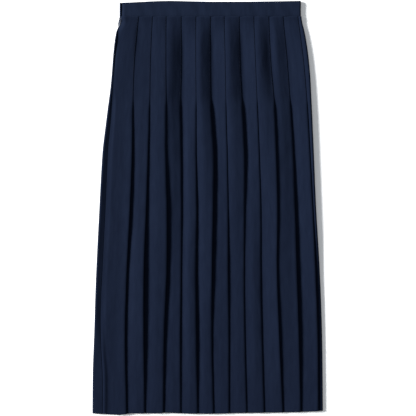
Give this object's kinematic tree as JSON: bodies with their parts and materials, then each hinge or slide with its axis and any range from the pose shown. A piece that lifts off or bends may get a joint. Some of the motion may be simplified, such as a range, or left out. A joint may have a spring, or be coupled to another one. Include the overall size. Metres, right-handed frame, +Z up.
{
  "type": "pleated maxi skirt",
  "caption": "Long knife-pleated skirt with a straight waistband and a side zip, laid flat on its back.",
  "frame": {"origin": "centre of the skirt's outline, on the surface that it lies on", "axes": "+Z up off the surface, +Y from the hem towards the waist, +X away from the side with the zip"},
  "size_m": [0.4849, 0.8694, 0.0151],
  "materials": {
    "navy_cloth": "matte plain-weave suiting",
    "navy_band": "matte, pressed flat over a stiffening",
    "navy_nylon": "dyed nylon coil",
    "zip_lacquer": "lacquered, slightly glossy"
  },
  "bodies": {
    "skirt": {"front_panel": "navy_cloth", "back_panel": "navy_cloth", "waistband_front": "navy_band", "waistband_back": "navy_band", "zip_coil": "navy_nylon", "zip_slider": "zip_lacquer"},
    "pull_tab": {"zip_pull_tab": "zip_lacquer"}
  },
  "joints": [
    {"name": "pull_tab_swing", "type": "hinge", "parent": "skirt", "child": "pull_tab", "pos_m": [-0.1846, 0.3979, 0.0046], "axis": [0, 0, -1], "range_deg": [0, 110]}
  ]
}
